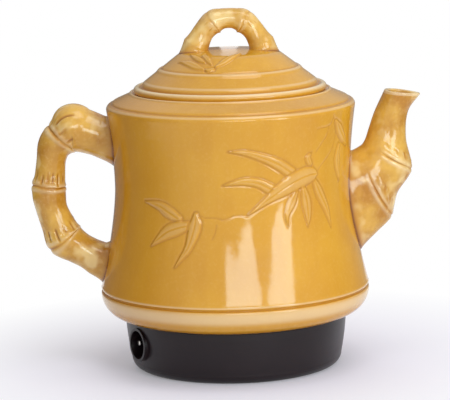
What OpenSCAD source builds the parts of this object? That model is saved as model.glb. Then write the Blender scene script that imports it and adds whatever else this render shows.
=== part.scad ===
// Electric stoneware pot for decocting herbs: a glazed pot body with a bamboo-cane handle and
// spout, a lift-off lid with a cane loop, and a dark base that holds the heater and its inlet.
// Origin: on the pot's axis at the table. +X towards the spout, +Z up. Millimetres.

/* [Pot body] */
// Height of the pot body from its foot to the seat of the lid
pot_h = 174; // [165:1:190]
// Wall thickness of the pot body
pot_wall = 6; // [4.5:0.5:7.5]
// Thickness of the pot's floor
pot_floor = 7; // [5:0.5:9]
// Radius at the bead, the widest place
bead_r = 104.8; // [98:0.1:110]
// Height of the bead's widest line above the foot
bead_h = 18.5; // [15:0.5:22]
// Radius of the foot, which stands on the base
foot_r = 86.3; // [83:0.1:90]
// Radius at the waist
waist_r = 91.5; // [86:0.5:95]
// Height of the waist above the foot
waist_h = 101; // [90:1:110]
// Radius at the shoulder
shoulder_r = 96.5; // [94:0.5:100]
// How far the shoulder's widest line lies below the seat of the lid
shoulder_drop = 12; // [10:0.5:16]
// Radius of the mouth
mouth_r = 66; // [62:0.5:68]
// Radius of the recess under the floor that takes the heater
recess_r = 70; // [69:0.5:74]
// Depth of that recess
recess_h = 3; // [2:0.5:4]
// Depth of the groove above the bead
bead_groove = 1.8; // [1:0.1:2.5]
// Depth of the groove round the shoulder
shoulder_groove = 0.7; // [0.3:0.1:1.2]
// Radial room between the lid's rim and the low collar round it
collar_gap = 1.2; // [0.8:0.1:2]
// Height of the collar above the seat of the lid
collar_h = 1.2; // [0.6:0.1:2]

/* [Lid] */
// Radius of the lid's rolled rim
lid_r = 74.8; // [72:0.1:77]
// Thickness of the lid
lid_wall = 5.5; // [4:0.5:6.5]
// Radius of the roll of the rim
lid_roll = 2.9; // [2.2:0.1:3.4]
// Height of the lid's crown above the seat
lid_h = 32.6; // [30:0.1:36]
// Radius where the cone of the lid turns into the crown
crown_r = 41; // [37:0.5:44]
// Width of the groove between the rim and the cone
lid_groove = 3.5; // [3:0.1:5]
// Radius of the ring that is turned into the cone
lid_ring_r = 54.5; // [49:0.5:58]
// Depth of the locating flange under the lid
flange_h = 10; // [6:1:14]
// Radial room between the locating flange and the mouth
flange_gap = 1.5; // [1:0.1:2.5]

/* [Lid loop] */
// Distance from the axis to the middle of a foot of the loop
loop_span = 27; // [23:0.5:29]
// Height of the loop's centreline at the top, above the crown of the lid
loop_h = 23.6; // [20:0.5:28]
// Half thickness of the loop's cane
loop_r = 8; // [6.5:0.25:9]

/* [Handle] */
// How far the grip's centreline stands out from the waist
handle_reach = 51.5; // [46:0.5:60]
// Half thickness of the grip's cane
grip_r = 13; // [10:0.25:15]
// How far the upper end of the handle lies below the seat of the lid
handle_top_drop = 37; // [34:0.5:44]
// Height of the lower end of the handle above the pot's foot
handle_low_h = 42; // [38:0.5:50]

/* [Spout] */
// How far the tip of the spout stands out from the waist
spout_reach = 55.5; // [50:0.5:62]
// Height of the lower edge of the spout's root above the pot's foot
spout_foot_h = 47; // [42:0.5:54]
// Height of the spout's root, from its lower edge to the crotch
spout_root_h = 76.5; // [70:0.5:80]
// How far the spout's mouth lies below the seat of the lid
spout_drop = 3; // [1:0.5:8]
// Half width of the spout's root
spout_root_w = 19; // [17:0.5:23]
// Half width of the spout's neck
spout_neck_w = 12.5; // [11:0.5:15]
// Wall thickness of the spout
spout_wall = 4.5; // [3.5:0.25:5]
// Diameter of the strainer's holes
strainer_d = 3; // [2.5:0.25:3.5]
// Distance between the strainer's holes
strainer_pitch = 7; // [6:0.5:8]

/* [Base] */
// Height of the base
base_h = 40; // [38:0.5:44]
// How much narrower the base gets towards its bottom
base_taper = 4; // [2:0.5:5]
// Radius of the rounding round the base's bottom
base_round = 8; // [6:0.5:9]
// Wall thickness of the base
base_wall = 3.5; // [2.5:0.25:4.5]
// Thickness of the seal between base and pot
seal_t = 1; // [0.5:0.1:2]
// Radius of the bottom cover
cover_r = 68; // [64:0.5:70]
// Thickness of the bottom cover
cover_t = 2; // [1.5:0.25:2.5]
// Radius of the circle that the cover's screws lie on
cover_screw_circle = 62; // [59:0.5:62.5]
// Radius of the shafts of all screws
screw_r = 1.5; // [1.25:0.25:2]

/* [Inlet] */
// Direction that the inlet faces, measured from the spout
inlet_turn = 208.5; // [200:0.5:216]
// Height of the inlet's middle above the table
inlet_z = 24.5; // [22:0.25:25.5]
// Radius of the bore that takes the plug
inlet_r = 11; // [10:0.25:11.25]
// Wall thickness of the inlet's collar
inlet_wall = 1.9; // [1.5:0.1:2]
// How far the collar stands out of the base
inlet_proud = 2.4; // [1.5:0.1:4]
// Depth of the bore that takes the plug
inlet_depth = 17; // [15:0.5:17.5]
// Radius of the contact pins
pin_r = 2; // [1.75:0.25:2.5]
// Free length of the contact pins
pin_len = 13; // [10:0.5:14]
// Distance between the contact pins
pin_pitch = 11; // [10:0.5:12]

/* [Heater] */
// Radius of the heating plate
plate_r = 66.2; // [64:0.1:66.5]
// Thickness of the heating plate
plate_t = 6; // [5:0.5:7]
// Radius of the coil's wire tube
coil_tube_r = 1.3; // [1:0.1:1.4]
// Number of turns of the coil
coil_turns = 4; // [3:1:5]
// Thickness of the insulation pad
pad_t = 4; // [3:0.5:5]
// Thickness of the heat shield's sheet
shield_t = 1; // [0.75:0.25:1.5]
// Radius of the thermostat
stat_r = 8; // [7:0.5:9]
// Radius of the insulated wires
wire_r = 1.5; // [1.25:0.25:1.75]

/* [Hidden] */
$fn = 72;

amber = [0.86, 0.63, 0.27];
pale_amber = [0.93, 0.76, 0.45];
dark_brown = [0.16, 0.13, 0.13];

// Clearances
seat_gap = 0.1;     // swept pieces stand this far off the curved face that they are luted to
screw_gap = 0.05;   // radial room round a screw, pin or stud
drop_in_gap = 0.3;  // radial room round a flat piece that drops into a recess
wire_gap = 0.2;     // between the end of a wire and the part that it is crimped to
eps = 0.01;

// Heights
foot_z = base_h + seal_t;
seat_z = foot_z + pot_h;
bead_z = foot_z + bead_h;
waist_z = foot_z + waist_h;
shoulder_z = seat_z - shoulder_drop;
plate_top = foot_z + recess_h;
floor_z = plate_top + pot_floor;
plate_z = plate_top - plate_t;
pad_z = plate_z - pad_t;
shield_z = pad_z - shield_t;
flare_z = bead_z + 5.5;   // the wall starts above the groove over the bead

// Radii that follow
flare_r = bead_r - 0.6;
collar_r = lid_r + collar_gap;

// ---- shared functions ----

// Points of an arc round [x, y], from angle a to angle b
function arc(x, y, r, a, b, n) =
    [for (i = [0 : n]) let (t = a + (b - a) * i / n) [x + r * cos(t), y + r * sin(t)]];

// One piece of a smooth curve through p1 and p2
function curve_piece(p0, p1, p2, p3, t) =
    0.5 * (2 * p1 + (p2 - p0) * t + (2 * p0 - 5 * p1 + 4 * p2 - p3) * t * t
           + (3 * p1 - p0 - 3 * p2 + p3) * t * t * t);

// Smooth curve through the stations p, at station number u
function curve(p, u) =
    let (n = len(p) - 1, i = min(floor(u), n - 1),
         before = i > 0 ? p[i - 1] : 2 * p[0] - p[1],
         after = i < n - 1 ? p[i + 2] : 2 * p[n] - p[n - 1])
    curve_piece(before, p[i], p[i + 1], after, u - i);

// Middle of a ring of points
function middle(ring) = [for (k = [0 : 2]) [for (q = ring) q[k]] * [for (q = ring) 1] / len(ring)];

// A solid skinned over rings of points: capped at both ends, or closed on itself
module skin(rings, closed = false) {
    n = len(rings[0]);
    m = len(rings);
    sides = [for (i = [0 : closed ? m - 1 : m - 2], k = [0 : n - 1])
             let (j = (i + 1) % m, l = (k + 1) % n)
             each [[i * n + k, j * n + k, i * n + l], [i * n + l, j * n + k, j * n + l]]];
    ends = [for (k = [0 : n - 1]) let (l = (k + 1) % n)
            each [[k, l, m * n], [(m - 1) * n + l, (m - 1) * n + k, m * n + 1]]];
    points = [for (ring = rings) each ring];
    centres = [middle(rings[0]), middle(rings[m - 1])];
    polyhedron(points = closed ? points : concat(points, centres),
               faces = closed ? sides : concat(sides, ends), convexity = 8);
}

// How much a cane swells beside a node line and dips on it, d stations away from the line
node_swell = 0.6;
node_dip = 0.6;
function cane_swell(d) =
    node_swell * exp(-pow((abs(d) - 0.25) / 0.16, 2)) - node_dip * exp(-pow(d / 0.1, 2));

// ---- pot body ----

// Outer radius of the pot body's wall between the flare above the bead and the shoulder
function body_r(z) =
    z < waist_z
    ? waist_r + (flare_r - waist_r) * pow(min(1, (waist_z - z) / (waist_z - flare_z)), 1.5)
    : waist_r + (shoulder_r - waist_r) * pow(min(1, (z - waist_z) / (shoulder_z - waist_z)), 1.9);

// The point of the wall's outer face at y and z, on the spout's side (1) or the handle's (-1)
function on_body(side, y, z) =
    [side * sqrt(pow(body_r(z) + seat_gap, 2) - y * y), y, z];

// Heights at which the wall's outline is drawn
wall_steps = [for (i = [0 : 12]) flare_z + (waist_z - flare_z) * i / 12];
wall_steps_high = [for (i = [1 : 8]) waist_z + (shoulder_z - waist_z) * i / 8];
shoulder_round = 4.5;
slope_in = 3.6;      // the slope above the shoulder starts this far inside its widest line,
slope_up = 4.9;      // and this far above it
collar_w = 1.2;      // half width of the low collar round the lid
mouth_round = 1.5;
inner_round = 12;
bead_groove_w = 3.2;

// A groove in an outline that runs upwards: from z, w wide and d deep
function groove(r, z, w, d) =
    [[r - 0.15 * d, z], [r - d, z + 0.35 * w], [r - 0.15 * d, z + 0.75 * w], [r, z + w]];

function pot_outline() =
    let (slope_r = shoulder_r - slope_in, slope_z = shoulder_z + slope_up,
         inner_top = shoulder_z - inner_round)
    concat(
        [[0, plate_top], [recess_r, plate_top], [recess_r, foot_z]],
        [for (a = [-90 : 7.5 : 0])
         [foot_r + (bead_r - foot_r) * cos(a), bead_z + bead_h * sin(a)]],
        groove(bead_r, bead_z + 1, bead_groove_w, bead_groove),
        [for (z = wall_steps) [body_r(z), z]],
        [for (z = wall_steps_high) [body_r(z), z]],
        arc(shoulder_r - shoulder_round, shoulder_z, shoulder_round, 12, 60, 4),
        [[slope_r + 0.2, slope_z - shoulder_groove], [slope_r - 0.5, slope_z - shoulder_groove],
         [slope_r - 1.3, slope_z + 0.6], [slope_r - 2.4, slope_z + 1.3],
         [collar_r + 2 * collar_w + 0.2, seat_z - collar_h / 2]],
        arc(collar_r + collar_w, seat_z, collar_h, 45, 170, 5),
        [[collar_r, seat_z], [mouth_r + mouth_round, seat_z], [mouth_r, seat_z - mouth_round],
         [mouth_r, seat_z - pot_wall - mouth_round]],
        arc(body_r(inner_top) - pot_wall - inner_round, inner_top, inner_round, 62, 0, 5),
        [for (i = [7 : -1 : 0]) let (z = wall_steps_high[i]) if (z < inner_top - 3)
         [body_r(z) - pot_wall, z]],
        [for (i = [12 : -1 : 0]) [body_r(wall_steps[i]) - pot_wall, wall_steps[i]]],
        arc(flare_r - pot_wall - inner_round, floor_z + inner_round, inner_round, 0, -90, 6),
        [[0, floor_z]]);

// Middle of the strainer, in the middle of the spout's root
strainer_z = foot_z + spout_foot_h + spout_root_h / 2;

module pot_body() color(amber) difference() {
    rotate_extrude($fn = 96) polygon(pot_outline());
    for (col = [-1 : 1], row = [col == 0 ? -3 : -2.5 : col == 0 ? 3 : 2.5])
        translate([waist_r - 2 * pot_wall, col * strainer_pitch, strainer_z + row * strainer_pitch])
        rotate([0, 90, 0]) cylinder(d = strainer_d, h = 4 * pot_wall);
}

// ---- handle: bamboo cane in three lengths, bent at its nodes ----

cane_sides = 20;
// Stations from the upper root to the lower: share of the reach, share of the height between
// the roots, and half thickness as a share of the grip's
handle_stations = [
    [0.06, 1.01, 1.36], [0.24, 1.05, 1.24], [0.45, 1.09, 1.32], [0.62, 1.11, 1.42],
    [0.79, 1.04, 1.22], [0.90, 0.96, 1.02], [0.95, 0.86, 0.88], [0.98, 0.72, 0.92],
    [1.00, 0.64, 1.01], [1.00, 0.55, 1.00], [0.965, 0.44, 0.94], [0.88, 0.315, 1.02],
    [0.78, 0.20, 1.16], [0.60, 0.125, 1.00], [0.44, 0.075, 0.97], [0.30, 0.03, 1.06]];
handle_nodes = [4, 8, 12];
handle_steps = 4;
root_steps = 4;

function handle_low() = foot_z + handle_low_h;
function handle_top() = seat_z - handle_top_drop;
function handle_at(u) =
    let (s = curve(handle_stations, u))
    [-(waist_r + s[0] * handle_reach), handle_low() + s[1] * (handle_top() - handle_low()),
     s[2] * grip_r];

function handle_ring(u) =
    let (c = handle_at(u),
         last = len(handle_stations) - 1,
         a = handle_at(max(0, u - 0.05)), b = handle_at(min(last, u + 0.05)),
         t = [b[0] - a[0], b[1] - a[1]] / norm([b[0] - a[0], b[1] - a[1]]),
         swell = [for (n = handle_nodes) cane_swell(u - n)] * [1, 1, 1],
         r = c[2] + swell)
    [for (k = [0 : cane_sides - 1]) let (w = 360 * k / cane_sides)
     [c[0] + t[1] * r * cos(w), r * sin(w) * 0.97, c[1] - t[0] * r * cos(w)]];

// Rings that lie on the body's wall: the root's outline, shrunk to its middle
function root_ring(side, z, up, r, w, share, sides) =
    [for (k = [0 : sides - 1]) let (a = 360 * k / sides)
     on_body(side, w * share * sin(a), z + up * r * share * cos(a))];

module handle() color(amber) {
    last = len(handle_stations) - 1;
    top_r = 1.44 * grip_r;
    low_r = 1.22 * grip_r;
    skin(concat(
        [for (i = [0 : root_steps])
         root_ring(-1, handle_top(), 1, top_r, 1.3 * grip_r, max(0.01, i / root_steps), cane_sides)],
        [for (i = [handle_steps : last * handle_steps]) handle_ring(i / handle_steps)],
        [for (i = [root_steps : -1 : 0])
         root_ring(-1, handle_low(), -1, low_r, 1.15 * grip_r, max(0.01, i / root_steps),
                   cane_sides)]));
}

// ---- spout: a thick cane that rises from the side and turns up into a neck ----

spout_sides = 28;
// Stations: share of the reach and share of the height of the inner edge, the same of the
// outer edge, and the half width as a place between the neck's (0) and the root's (1)
spout_stations = [
    [0.10, 0.640, 0.37, 0.105, 0.98], [0.17, 0.660, 0.57, 0.200, 0.90],
    [0.205, 0.680, 0.665, 0.350, 0.72], [0.235, 0.710, 0.865, 0.500, 0.58],
    [0.28, 0.770, 0.795, 0.700, 0.12], [0.36, 0.870, 0.830, 0.865, 0.00],
    [0.50, 1.000, 1.000, 0.972, 0.08]];
spout_nodes = [1.6, 3];
spout_steps = 5;

function spout_foot() = foot_z + spout_foot_h;
function spout_top() = seat_z - spout_drop;
function spout_at(u) =
    let (s = curve(spout_stations, u), h = spout_top() - spout_foot())
    [[waist_r + s[0] * spout_reach, spout_foot() + s[1] * h],
     [waist_r + s[2] * spout_reach, spout_foot() + s[3] * h],
     spout_neck_w + s[4] * (spout_root_w - spout_neck_w)];

// The nodes of the spout fade out towards its inner edge, where the canes meet in a fork
function swell_share(out) = 0.5 + 0.5 * out;

// A ring of the spout's outer face (inset 0) or of its channel (inset by the wall)
function spout_ring(u, inset) =
    let (s = spout_at(u),
         last = len(spout_stations) - 1,
         half = (s[1] - s[0]) / 2, mid = (s[1] + s[0]) / 2,
         swell = inset > 0 ? 0 : [for (n = spout_nodes) cane_swell(u - n)] * [1, 1],
         grow = 1 - inset / norm(half),
         lip = 0.3 * pow(max(0, u - last + 1.2) / 1.2, 2))
    [for (k = [0 : spout_sides - 1]) let (a = 360 * k / spout_sides)
     let (out = cos(a), g = grow + swell_share(out) * swell / norm(half))
     [mid[0] + half[0] * g * out,
      (s[2] + swell_share(out) * swell - inset) * sin(a) * (1 - lip * out),
      mid[1] + half[1] * g * out]];

function spout_root_ring(inset) =
    root_ring(1, spout_foot() + spout_root_h / 2, -1, spout_root_h / 2 - inset,
              spout_root_w - inset, 1, spout_sides);

module spout() color(amber) {
    last = (len(spout_stations) - 1) * spout_steps;
    skin(concat(
        [spout_root_ring(0)],
        [for (i = [0 : last]) spout_ring(i / spout_steps, 0)],
        [for (i = [last : -2 : 0]) spout_ring(i / spout_steps, spout_wall)],
        [spout_root_ring(spout_wall)]), closed = true);
}

// ---- lid ----

// The cone of the lid starts at the inner edge of its rim's groove
cone_r = lid_r - lid_roll - lid_groove - 0.9;
cone_z = 7.7;
// The ring that is turned into the cone: steps along the radius, and up from the plain cone
ring_steps = [[-2.2, 0], [-1.2, -0.4], [-0.6, 0.7], [0.4, 0.9], [1.6, 0.5], [2.6, 0]];
crown_turn = 14;   // radius of the bend from the cone into the crown
crown_tilt = 6;    // steepness of the crown at that bend
cone_tilt = 36.3;  // steepness of the cone, from the plane of the rim

crown_in_r = crown_r - crown_turn * (sin(cone_tilt) - sin(crown_tilt));
crown_ball = crown_in_r / sin(crown_tilt);
crown_in_z = lid_h - crown_ball * (1 - cos(crown_tilt));
crown_out_z = crown_in_z - crown_turn * (cos(crown_tilt) - cos(cone_tilt));

// Height of the lid's outer face above the seat, at a distance r from the axis
function dome(r) =
    r < crown_in_r ? lid_h - crown_ball + sqrt(crown_ball * crown_ball - r * r)
    : r < crown_r
      ? let (x = r - crown_in_r + crown_turn * sin(crown_tilt))
        crown_in_z - crown_turn * cos(crown_tilt) + sqrt(crown_turn * crown_turn - x * x)
      : crown_out_z - (r - crown_r) * (crown_out_z - cone_z) / (cone_r - crown_r);

function lid_outline() =
    let (roll_r = lid_r - lid_roll, roll_z = 0.83 * lid_roll, start = asin(-roll_z / lid_roll),
         flange_r = mouth_r - flange_gap, hollow_r = flange_r - lid_wall, edge = 1,
         lift = lid_wall / cos(cone_tilt), turn_in_r = crown_in_r - 4)
    concat(
        [[flange_r, 0], [flange_r, edge - flange_h], [flange_r - edge, -flange_h],
         [hollow_r + edge, -flange_h], [hollow_r, edge - flange_h],
         [hollow_r, dome(hollow_r) - lift], [crown_r - 2, dome(crown_r - 2) - lift],
         [turn_in_r, dome(turn_in_r) - lid_wall],
         [crown_in_r / 2, dome(crown_in_r / 2) - lid_wall],
         [0, lid_h - lid_wall], [0, lid_h]],
        [for (i = [1 : 6]) [crown_in_r * i / 6, dome(crown_in_r * i / 6)]],
        [for (i = [1 : 4]) let (r = crown_in_r + (crown_r - crown_in_r) * i / 4) [r, dome(r)]],
        [for (q = ring_steps) [lid_ring_r + q[0], dome(lid_ring_r + q[0]) + q[1]]],
        [[cone_r, cone_z], [cone_r + 0.6, cone_z - 1.2], [cone_r + 1.3, roll_z + 0.75 * lid_roll],
         [cone_r + 2.4, roll_z + 0.72 * lid_roll]],
        arc(roll_r, roll_z, lid_roll, 105, start, 10));

module lid() color(pale_amber)
    translate([0, 0, seat_z]) rotate_extrude($fn = 96) polygon(lid_outline());

// ---- lid loop ----

loop_sides = 16;
// Stations of one half, from the foot: share of the span, share of the height, share of the cane
loop_stations = [
    [0.93, 0.18, 1.30], [0.84, 0.36, 1.12], [0.715, 0.59, 1.03], [0.54, 0.82, 1.06],
    [0.38, 0.94, 1.09], [0.18, 0.99, 0.98], [0.00, 1.00, 0.97]];
loop_node = 4;
loop_steps = 3;

function loop_foot_z() = dome(loop_span);
function loop_at(u) =
    let (s = curve(loop_stations, u), top = lid_h + loop_h)
    [-s[0] * loop_span, loop_foot_z() + s[1] * (top - loop_foot_z()), s[2] * loop_r];

function loop_ring(u) =
    let (c = loop_at(u), a = loop_at(max(0, u - 0.05)), b = loop_at(u + 0.05),
         top = u > len(loop_stations) - 1 - 0.01,
         t = top ? [1, 0] : [b[0] - a[0], b[1] - a[1]] / norm([b[0] - a[0], b[1] - a[1]]),
         r = c[2] + 0.7 * cane_swell(u - loop_node))
    [for (k = [0 : loop_sides - 1]) let (w = 360 * k / loop_sides)
     [c[0] - t[1] * r * cos(w), r * sin(w), c[1] + t[0] * r * cos(w)]];

function loop_foot_ring(share) =
    [for (k = [0 : loop_sides - 1])
     let (w = 360 * k / loop_sides, x = -loop_span - share * 1.46 * loop_r * cos(w),
          y = share * 1.3 * loop_r * sin(w))
     [x, y, dome(norm([x, y])) + seat_gap]];

function mirrored(ring) = [for (q = ring) [-q[0], q[1], q[2]]];

module lid_loop() color(amber) translate([0, 0, seat_z]) {
    last = (len(loop_stations) - 1) * loop_steps;
    half = concat([for (i = [0 : 5]) loop_foot_ring(max(0.01, i / 5))],
                  [for (i = [1 : last - 1]) loop_ring(i / loop_steps)]);
    skin(concat(half, [loop_ring(len(loop_stations) - 1)],
                [for (i = [len(half) - 1 : -1 : 0]) mirrored(half[i])]));
}

// ---- leaves in relief on the lid, in front of the loop ----

// Each leaf: where it springs from, where its tip lies, and its half width
leaves = [[[-14, -42], [-18, -24], 2.5], [[-11, -46.5], [9, -31], 2.7],
          [[-18.5, -46], [-39, -23], 2.7], [[-18.5, -39.5], [-30, -22], 2.3]];
leaf_h = 1.3;
leaf_steps = 8;

function on_lid(p, up) = [p[0], p[1], dome(norm(p)) + seat_gap + up];
function leaf_ring(leaf, t) =
    let (along = leaf[1] - leaf[0], side = [-along[1], along[0]] / norm(along),
         w = leaf[2] * pow(sin(180 * t), 0.7) + 0.15,
         p = leaf[0] + along * t + side * 1.5 * sin(180 * t))
    [on_lid(p - side * w, 0), on_lid(p, leaf_h * sin(180 * t) + 0.2), on_lid(p + side * w, 0),
     on_lid(p + side * w / 2, 0), on_lid(p, 0), on_lid(p - side * w / 2, 0)];

module lid_leaves() color(pale_amber) translate([0, 0, seat_z])
    for (leaf = leaves)
        skin([for (i = [0 : leaf_steps]) leaf_ring(leaf, i / leaf_steps)]);

// ---- seal and base ----

module ring(r_out, r_in, h) difference() {
    cylinder(r = r_out, h = h);
    translate([0, 0, -eps]) cylinder(r = r_in, h = h + 2 * eps);
}

module seal_ring() color("black") translate([0, 0, base_h])
    ring(foot_r - 0.6, recess_r + 4, seal_t);

flange_t = 3.5;                       // top flange that carries the pot
flange_in_r = plate_r + shield_t + 0.8;
lug_r = flange_in_r + 5;
ledge_t = 2.5;                        // ledge that the bottom cover seats under
cover_z = 1;                          // the cover lies this far above the table
cover_top = cover_z + cover_t;
boss_r = 4;
boss_top = 17;
head_r = 2 * screw_r;
head_h = 1.4;

// Outer radius of the base at a height
function base_r(z) =
    foot_r - base_taper * pow(1 - (z - base_round) / (base_h - base_round), 1.6);
base_steps = [for (i = [0 : 6]) base_round + (base_h - base_round) * i / 6];

function base_outline() =
    let (low_r = foot_r - base_taper, in_r = low_r - base_wall, ring_top = cover_top + ledge_t)
    concat(
        [[cover_r + drop_in_gap, 0]],
        arc(low_r - base_round, base_round, base_round, -90, -12, 6),
        [for (z = base_steps) [base_r(z), z]],
        [[flange_in_r, base_h], [flange_in_r, base_h - flange_t],
         [base_r(base_h - flange_t) - base_wall, base_h - flange_t]],
        [[in_r, base_round + 2], [in_r - 3, ring_top], [cover_r - 3, ring_top],
         [cover_r - 3, cover_top], [cover_r + drop_in_gap, cover_top]]);

module at_inlet()
    translate([0, 0, inlet_z]) rotate([0, 0, inlet_turn]) rotate([0, 90, 0]) children();

inlet_mouth = base_r(inlet_z) + inlet_proud;
inlet_floor = inlet_mouth - inlet_depth;
inlet_back = 3;                       // wall behind the bore, which the pins pass through
collar_out_r = inlet_r + inlet_wall;
shank_r = pin_r + 0.4;                // the pins are thicker where the block holds them
tip_h = 0.5;

module at_pins() for (side = [-1, 1]) translate([0, side * pin_pitch / 2, 0]) children();
module at_cover_screws() for (i = [0 : 3])
    rotate([0, 0, inlet_turn + 45 + 90 * i]) translate([cover_screw_circle, 0, 0]) children();

module base_housing() color(dark_brown) difference() {
    union() {
        rotate_extrude($fn = 96) polygon(base_outline());
        at_inlet() translate([0, 0, inlet_floor - inlet_back])
            cylinder(r = collar_out_r, h = inlet_depth + inlet_back);
        at_cover_screws() translate([0, 0, cover_top])
            cylinder(r = boss_r, h = boss_top - cover_top);
    }
    at_inlet() {
        translate([0, 0, inlet_floor]) cylinder(r = inlet_r, h = inlet_depth + 1);
        translate([0, 0, inlet_floor - inlet_back - 1]) at_pins()
            cylinder(r = shank_r + screw_gap, h = inlet_back + 2);
    }
    at_cover_screws() translate([0, 0, cover_top - 1]) cylinder(r = screw_r + screw_gap, h = 12);
    at_lugs() translate([lug_r, 0, base_h - flange_t - 1]) cylinder(r = screw_r + screw_gap, h = 3.8);
}

// ---- bottom cover and its screws ----

module bottom_cover() color("dimgray") difference() {
    translate([0, 0, cover_z]) cylinder(r = cover_r, h = cover_t);
    at_cover_screws() {
        translate([0, 0, cover_z - eps])
            cylinder(r1 = head_r + screw_gap, r2 = screw_r + screw_gap, h = head_h);
        translate([0, 0, cover_z]) cylinder(r = screw_r + screw_gap, h = cover_t + 1);
    }
}

module cover_screws() color("silver") at_cover_screws() {
    translate([0, 0, cover_z]) cylinder(r1 = head_r, r2 = screw_r, h = head_h);
    translate([0, 0, cover_z + head_h - eps]) cylinder(r = screw_r, h = 9);
}

// ---- inlet block and contact pins ----

block_h = 2 * (shield_z - inlet_z) - 1;
block_w = pin_pitch + 9;
block_t = 8;
tail = 5;                             // the pins' tails, behind the block

module inlet_block() color("tan") at_inlet() difference() {
    translate([-block_h / 2, -block_w / 2, inlet_floor - inlet_back - block_t])
        cube([block_h, block_w, block_t]);
    translate([0, 0, inlet_floor - inlet_back - block_t - 1]) at_pins()
        cylinder(r = shank_r + screw_gap, h = block_t + 2);
}

pin_back = inlet_floor - inlet_back - block_t - tail;

module inlet_pins() color("silver") at_inlet() at_pins() {
    translate([0, 0, pin_back]) cylinder(r = shank_r, h = inlet_floor - pin_back);
    translate([0, 0, inlet_floor - eps]) cylinder(r = pin_r, h = pin_len - tip_h + eps);
    translate([0, 0, inlet_floor + pin_len - tip_h])
        cylinder(r1 = pin_r, r2 = pin_r - tip_h, h = tip_h);
}

// ---- heater ----

coil_room = 2 * coil_tube_r + 0.3;    // depth of the hollow that the coil lies in
coil_in_r = 18;
coil_out_r = plate_r - 8;
terminal_r = 1.6;

module heater_plate() color("lightgray") difference() {
    translate([0, 0, plate_z]) cylinder(r = plate_r, h = plate_t);
    translate([0, 0, plate_z - 1]) ring(coil_out_r + 3, coil_in_r - 4, coil_room + 1);
}

coil_sides = 6;
coil_rings = 20;   // rings a turn
coil_z = plate_z + coil_tube_r + 0.1;
function coil_ring(i) =
    let (n = coil_turns * coil_rings, a = 360 * i / coil_rings,
         r = coil_in_r + (coil_out_r - coil_in_r) * i / n)
    [for (k = [0 : coil_sides - 1]) let (w = 360 * k / coil_sides, q = r + coil_tube_r * cos(w))
     [q * cos(a), q * sin(a), coil_z + coil_tube_r * sin(w)]];

module heater_coil() color("orangered")
    skin([for (i = [coil_turns * coil_rings : -1 : 0]) coil_ring(i)]);

// Terminals stand under the two ends of the coil, inside the shield
terminal_x = [coil_in_r + 1, coil_out_r - 1];
terminal_y = -terminal_r - 0.1;
terminal_low = shield_z - 5;
module heater_terminals() color("silver") for (x = terminal_x)
    translate([x, terminal_y, terminal_low])
    cylinder(r = terminal_r, h = plate_z - terminal_low);

module terminal_holes(room, z, h) for (x = terminal_x)
    translate([x, terminal_y, z]) cylinder(r = terminal_r + room, h = h);

module insulation_pad() color("white") difference() {
    translate([0, 0, pad_z]) cylinder(r = plate_r, h = pad_t);
    terminal_holes(screw_gap, pad_z - 1, pad_t + 2);
}

module at_lugs() for (i = [0 : 2]) rotate([0, 0, inlet_turn + 60 + 120 * i]) children();

module heat_shield() color("gainsboro") difference() {
    union() {
        translate([0, 0, shield_z]) cylinder(r = plate_r + shield_t, h = shield_t);
        translate([0, 0, shield_z])
            ring(plate_r + shield_t, plate_r + 0.1, base_h - flange_t - shield_z);
        at_lugs() translate([plate_r + shield_t / 2, -6, base_h - flange_t - shield_t])
            cube([lug_r + 5 - plate_r, 12, shield_t]);
    }
    at_lugs() translate([lug_r, 0, 0]) cylinder(r = screw_r + screw_gap, h = base_h);
    terminal_holes(1, shield_z - 1, shield_t + 2);
    at_stat_screws() translate([0, 0, shield_z - 1])
        cylinder(r = screw_r + screw_gap, h = shield_t + 2);
}

module screw(shaft) {
    cylinder(r = screw_r, h = shaft);
    translate([0, 0, -1.6]) cylinder(r = head_r, h = 1.6);
}

module shield_screws() color("silver") at_lugs()
    translate([lug_r, 0, base_h - flange_t - shield_t]) screw(shield_t + 2.6);

// ---- thermostat and fuse, under the shield ----

stat_h = 7;
stat_y = 12;       // the thermostat sits off the middle, clear of the terminals
ear_x = stat_r + 4;
blade = [6.3, 0.8, 7];
module at_stat_screws() for (side = [-1, 1]) translate([side * ear_x, stat_y, 0]) children();

module thermostat() color("wheat") difference() {
    translate([0, stat_y, 0]) {
        translate([0, 0, shield_z - stat_h]) cylinder(r = stat_r, h = stat_h);
        translate([-ear_x - 3.5, -4, shield_z - 1]) cube([2 * ear_x + 7, 8, 1]);
        for (side = [-1, 1])
            translate([-blade[0] / 2, side * stat_r / 2 - blade[1] / 2, shield_z - stat_h - blade[2]])
            cube([blade[0], blade[1], blade[2] + eps]);
    }
    at_stat_screws() translate([0, 0, shield_z - 2]) cylinder(r = screw_r + screw_gap, h = 3);
}

module thermostat_screws() color("silver") at_stat_screws()
    translate([0, 0, shield_z - 1]) screw(1 + shield_t);

fuse_r = 2.2;
fuse_l = 14;
fuse_x = 34;
module thermal_fuse() color("ivory")
    translate([fuse_x, -fuse_l / 2, shield_z - fuse_r]) rotate([-90, 0, 0])
    cylinder(r = fuse_r, h = fuse_l);

// ---- wires ----

wire_sides = 8;
wire_steps = 4;
low_z = cover_top + 6;   // the wires keep this high above the cover

function wire_ring(p, u) =
    let (last = len(p) - 1, c = curve(p, u),
         d = curve(p, min(last, u + 0.05)) - curve(p, max(0, u - 0.05)), t = d / norm(d),
         side = cross(t, abs(t[2]) > 0.9 ? [1, 0, 0] : [0, 0, 1]), s = side / norm(side),
         up = cross(s, t))
    [for (k = [0 : wire_sides - 1]) let (w = 360 * k / wire_sides)
     c + wire_r * (s * cos(w) + up * sin(w))];

module wire(p) skin([for (i = [0 : (len(p) - 1) * wire_steps]) wire_ring(p, i / wire_steps)]);

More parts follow.
